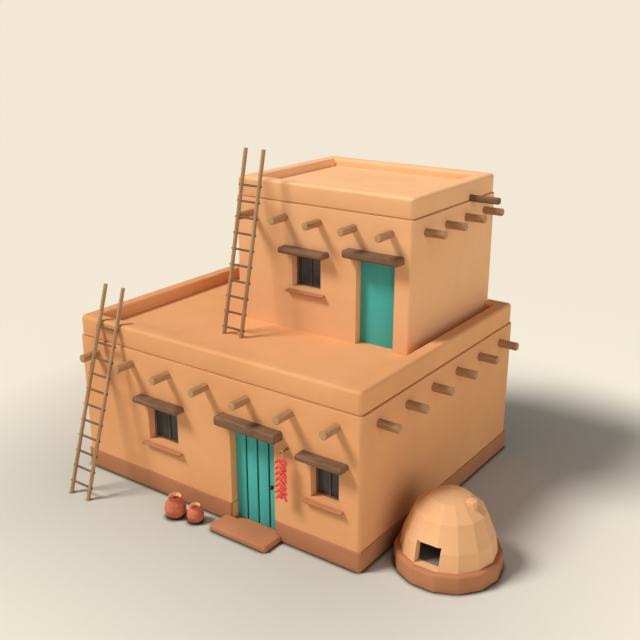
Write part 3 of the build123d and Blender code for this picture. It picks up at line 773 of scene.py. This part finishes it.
def turned(outline, start, heading):
    """A round shape spun from its outline of (radius, distance) pairs along a heading."""
    shape = bmesh.new()
    verts = [shape.verts.new((radius, 0.0, along)) for radius, along in outline]
    for first, second in zip(verts, verts[1:]):
        shape.edges.new((first, second))
    bmesh.ops.spin(
        shape,
        geom=list(shape.verts) + list(shape.edges),
        cent=(0.0, 0.0, 0.0),
        axis=(0.0, 0.0, 1.0),
        angle=2.0 * math.pi,
        steps=32,
        use_merge=True,
    )
    bmesh.ops.remove_doubles(shape, verts=shape.verts, dist=1e-5)
    bmesh.ops.recalc_face_normals(shape, faces=shape.faces)
    turn = UP.rotation_difference(Vector(heading)).to_matrix().to_4x4()
    bmesh.ops.transform(shape, matrix=Matrix.Translation(start) @ turn, verts=shape.verts)
    return shape


def build_knob():
    """A forged ball knob on a neck that flares a little where it meets the plank."""
    low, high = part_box("door_knob")
    ball = (high.x - low.x) / 2.0
    depth = high.y - low.y
    neck = 0.30 * ball
    outline = [(0.0, 0.0)]
    for i in range(1, 12):
        turn = math.pi * i / 13.0
        outline.append((ball * math.sin(turn), ball * (1.0 - math.cos(turn))))
    outline += [(neck, 1.93 * ball), (neck * 1.05, depth - 0.006), (neck * 1.02, depth), (0.0, depth)]
    start = ((low.x + high.x) / 2.0, low.y, (low.z + high.z) / 2.0)
    shape = turned(outline, start, (0.0, 1.0, 0.0))
    finished("door_knob_forged", shape, DOOR, [FINISHES["dark_iron"]], ["door_knob"])


# ---- oven and pots ------------------------------------------------------------------


def build_oven():
    """The beehive oven keeps its broad hand-patted facets, with softened ridges."""
    shape = rounded(welded("oven_base"), 0.018, steps=3, turn=8.0)
    finished("oven_base_clay", shape, HOUSE, [HEARTH], ["oven_base"], soft=60.0)
    shape = welded("oven_dome")
    fire = Vector(OVEN_FIRE)
    # Inner and downward faces near the fire take the near-white clay as painted light.
    for face in shape.faces:
        near = (face.calc_center_median() - fire).xy.length < HEARTH_RADIUS
        if near and (faces_in(face, fire) > 0.5 or face.normal.z < -0.3):
            face.material_index = 1
    clays = [FINISHES["oven_clay"], DOME_INSIDE_PAINTED_LIGHT]
    finished("oven_dome_clay", shape, HOUSE, clays, ["oven_dome"], soft=4.0)
    shape = rounded(welded("oven_plug"), 0.02, steps=3, turn=20.0)
    finished("oven_plug_clay", shape, HOUSE, [FINISHES["oven_clay"]], ["oven_plug"], soft=60.0)


def build_pots():
    """Both pots, with pale slip on their inner faces."""
    clays = [FINISHES["pot_clay"], POT_SLIP]
    for name in ("pot_large", "pot_small"):
        shape = rounded(welded(name), 0.004, steps=2, turn=12.0)
        low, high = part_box(name)
        centre = (low + high) / 2.0
        for face in shape.faces:
            bottom = face.normal.z > 0.9 and face.calc_center_median().z < centre.z
            if bottom or faces_in(face, centre) > 0.2:
                face.material_index = 1
        finished(name + "_clay", shape, HOUSE, clays, [name], soft=12.0)


# ---- chili string -------------------------------------------------------------------

STRING_DIAMETER = 0.012
STRING_X = 1.948
STRING_Y = -3.185
STRING_TOP = 1.9504
STRING_LOW = 1.045
STRING_STOPS = (STRING_TOP, 1.82, 1.66, 1.50, 1.34, 1.18, STRING_LOW)
LOOP_POINTS = 8

POD_TIERS = 7
POD_TOP = 1.876
POD_PITCH = 0.120
POD_GIRTH = 0.0315
POD_FROM_STRING = 0.008
STEM_LENGTH = 0.024
STEM_GIRTH = 0.005
# One tier's pods: heading and drop in degrees, length in metres, and how many tiers lower it is tied.
POD_PLACES = ((-74.0, 43.0, 0.174, 0.0), (78.0, 42.0, 0.166, 0.0), (10.0, 60.0, 0.080, 0.10))


def string_curve(name, points, radius, closed=False):
    """A smooth round string through its control points."""
    data = bpy.data.curves.new(name, "CURVE")
    data.dimensions = "3D"
    data.bevel_depth = radius
    data.bevel_resolution = 3
    data.use_fill_caps = True
    spline = data.splines.new("NURBS")
    spline.points.add(len(points) - 1)
    for point, place in zip(spline.points, points):
        point.co = (*place, 1.0)
    spline.order_u = 3
    spline.use_endpoint_u = not closed
    spline.use_cyclic_u = closed
    spline.resolution_u = 8
    item = bpy.data.objects.new(name, data)
    data.materials.append(FINISHES["string"])
    bpy.context.collection.objects.link(item)
    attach(item, HOUSE)
    return item


def pod(shape, root, tip, girth, curl):
    """One chili pod from its root to its tip, full at the shoulder and curled at the point."""
    made = bmesh.ops.create_uvsphere(shape, u_segments=10, v_segments=12, radius=1.0)["verts"]
    span = tip - root
    turn = UP.rotation_difference(span.normalized()).to_matrix()
    for vert in made:
        share = (vert.co.z + 1.0) / 2.0
        full = max(1.0 - vert.co.z**2, 1e-6) ** -0.22
        across = Vector((vert.co.x, vert.co.y, 0.0)) * girth * full * (1.06 - 0.30 * share)
        bend = Vector((curl[0], curl[1], 0.0)) * 4.0 * share * (1.0 - share)
        vert.co = root + turn @ (across + bend + Vector((0.0, 0.0, share * span.length)))


def build_chilies():
    """Tiers of pods tied by their stems round the string, most of them turned to the sides."""
    draw = random.Random(11)
    pods = bmesh.new()
    stems = bmesh.new()
    for tier in range(POD_TIERS):
        for heading, drop, size, lag in POD_PLACES:
            turn = math.radians(heading + draw.uniform(-4.0, 4.0))
            fall = math.radians(drop + draw.uniform(-2.0, 2.0))
            level = math.cos(fall)
            way = Vector((math.sin(turn) * level, -math.cos(turn) * level, -math.sin(fall)))
            knot = Vector((STRING_X, STRING_Y, POD_TOP - (tier + lag) * POD_PITCH))
            root = knot + way * POD_FROM_STRING
            length = size * draw.uniform(0.96, 1.04)
            curl = (draw.uniform(-0.006, 0.006), draw.uniform(-0.006, 0.006))
            pod(pods, root, root + way * length, POD_GIRTH, curl)
            pod(stems, root, root + way * STEM_LENGTH, STEM_GIRTH, (0.0, 0.0))
    set_grain(pods)
    skins = [FINISHES["chili_skin"]]
    return (
        finished("ristra_pods", pods, HOUSE, skins, ["ristra_chilies"], soft=75.0),
        finished("ristra_stems", stems, HOUSE, [STEM], soft=75.0),
    )


def build_ristra():
    """The string of chilies: its loop over the peg, the hanging string, and the pods tied to it."""
    low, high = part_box("ristra_loop")
    radius = (high.x - low.x) / 2.0 - STRING_DIAMETER / 2.0
    outer = radius / math.cos(math.pi / LOOP_POINTS)
    centre = (low + high) / 2.0
    ring = []
    for i in range(LOOP_POINTS):
        turn = 2.0 * math.pi * i / LOOP_POINTS
        ring.append((centre.x + outer * math.sin(turn), centre.y, centre.z + outer * math.cos(turn)))
    loop = string_curve("ristra_loop_tied", ring, STRING_DIAMETER / 2.0, closed=True)
    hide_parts("ristra_loop")
    pods, stems = build_chilies()
    route = [(STRING_X, STRING_Y, level) for level in STRING_STOPS]
    cord = string_curve("ristra_string_hung", route, STRING_DIAMETER / 2.0)
    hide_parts("ristra_string")


# ---- what is left of the frame ------------------------------------------------------


def dress_nodes():
    """The nodes that keep their own shape get the finish of their slot."""
    for name, material in (
        ("roof_deck", FINISHES["adobe_plaster"]),
        # The upper roof deck takes the paler plaster as painted light.
        ("upper_roof_deck", ROOF_PAINTED_LIGHT),
        ("floor_slab", FINISHES["packed_earth"]),
        ("window_glass", FINISHES["window_glass"]),
    ):
        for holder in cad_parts[name].material_slots:
            holder.material = material


# ---- ground and light ---------------------------------------------------------------

GROUND_SIZE = 160.0
# Painted contact shade on the floor where things stand on it.
GROUND_CONTACT_SHADE = paint(66, 64, 55)
# Darker floor tone near the house: painted shade.
GROUND_SHADE_NEAR = paint(180, 178, 167)
GROUND_FAR = paint(242, 232, 213)
# How far the painted contact shade reaches.
CONTACT_SHADE_REACH = 0.13
# Half sizes of the patch under the house that has the darker near tone, painted shade, and how far off it
# is pale.
GROUND_CORE = (2.5, 2.5, 0.0)
GROUND_PALE_AT = 6.2
# The floor turns into the backdrop between these distances from that patch.
BACKDROP_FROM = 5.0
BACKDROP_FULL = 12.0
SKY = (0.93, 0.96, 1.0, 1.0)
SKY_STRENGTH = 0.18
# Name, strength, width in degrees, the side that the light comes from, and colour.
LAMPS = (
    ("key", 3.20, 18.0, (-0.479, -0.439, 0.760), (1.0, 1.0, 1.0)),
    ("fill", 1.66, 60.0, (0.90, -0.42, 0.13), (0.96, 1.0, 1.05)),
)


def looks_out(tree):
    """1 for the rays that show the backdrop: seen straight, mirrored or through glass."""
    path = tree.nodes.new("ShaderNodeLightPath")
    total = path.outputs["Is Camera Ray"]
    for kind in ("Is Glossy Ray", "Is Transmission Ray"):
        more = tree.nodes.new("ShaderNodeMath")
        more.operation = "MAXIMUM"
        tree.links.new(total, more.inputs[0])
        tree.links.new(path.outputs[kind], more.inputs[1])
        total = more.outputs[0]
    return total


def lay_ground():
    """A pale floor with painted shade near the house and where things stand on it, that runs out into a
    backdrop of its colour.
    """
    shape = bmesh.new()
    bmesh.ops.create_grid(shape, x_segments=1, y_segments=1, size=GROUND_SIZE)
    floor = bpy.data.objects.new("floor", as_mesh("floor", shape))
    bpy.context.collection.objects.link(floor)
    ground = Recipe("ground", roughness=1.0, specular=0.0)
    at = ground.add("ShaderNodeVectorMath", {0: ground.place()}, operation="ABSOLUTE").outputs[0]
    at = ground.add("ShaderNodeVectorMath", {0: at, 1: GROUND_CORE}, operation="SUBTRACT").outputs[0]
    at = ground.add("ShaderNodeVectorMath", {0: at}, operation="MAXIMUM").outputs[0]
    away = ground.add("ShaderNodeVectorMath", {0: at}, operation="LENGTH").outputs["Value"]
    # The floor darkens towards the house as painted shade.
    tone = ground.mix(ground.band(away, 0.0, GROUND_PALE_AT), GROUND_SHADE_NEAR, GROUND_FAR)
    # Ambient occlusion darkens the floor where things stand on it: painted contact shade.
    corner = ground.add("ShaderNodeAmbientOcclusion", {"Distance": CONTACT_SHADE_REACH}, samples=8)
    ground.colour(ground.mix(ground.band(corner.outputs["AO"], 0.5, 0.9), GROUND_CONTACT_SHADE, tone))
    glow = ground.add("ShaderNodeEmission", {"Color": GROUND_FAR, "Strength": 1.0})
    share = ground.times(looks_out(ground.tree), ground.band(away, BACKDROP_FROM, BACKDROP_FULL))
    blend = ground.add("ShaderNodeMixShader", {0: share})
    ground.tree.links.new(ground.shader.outputs[0], blend.inputs[1])
    ground.tree.links.new(glow.outputs[0], blend.inputs[2])
    ground.tree.links.new(blend.outputs[0], ground.tree.nodes["Material Output"].inputs[0])
    floor.data.materials.append(ground.material)


def light_scene():
    """A soft key from the front left, a broad weak fill from the right and an even pale sky."""
    for name, strength, width, source, colour in LAMPS:
        data = bpy.data.lights.new(name, "SUN")
        data.energy = strength
        data.color = colour
        data.angle = math.radians(width)
        lamp = bpy.data.objects.new(name, data)
        lamp.rotation_euler = UP.rotation_difference(Vector(source)).to_euler()
        bpy.context.collection.objects.link(lamp)
    world = bpy.data.worlds.new("sky")
    bpy.context.scene.world = world
    world.use_nodes = True
    tree = world.node_tree
    back = tree.nodes["Background"]
    back.inputs["Color"].default_value = SKY
    back.inputs["Strength"].default_value = SKY_STRENGTH
    plain = tree.nodes.new("ShaderNodeBackground")
    plain.inputs["Color"].default_value = GROUND_FAR
    blend = tree.nodes.new("ShaderNodeMixShader")
    tree.links.new(looks_out(tree), blend.inputs[0])
    tree.links.new(back.outputs[0], blend.inputs[1])
    tree.links.new(plain.outputs[0], blend.inputs[2])
    tree.links.new(blend.outputs[0], tree.nodes["World Output"].inputs[0])


bpy.context.scene.view_settings.view_transform = "Standard"
place_camera()
build_ristra()
build_walls()
build_parapets()
build_earthwork()
build_timber()
build_ceiling_boards()
build_doors()
build_knob()
build_oven()
build_pots()
dress_nodes()
lay_ground()
light_scene()
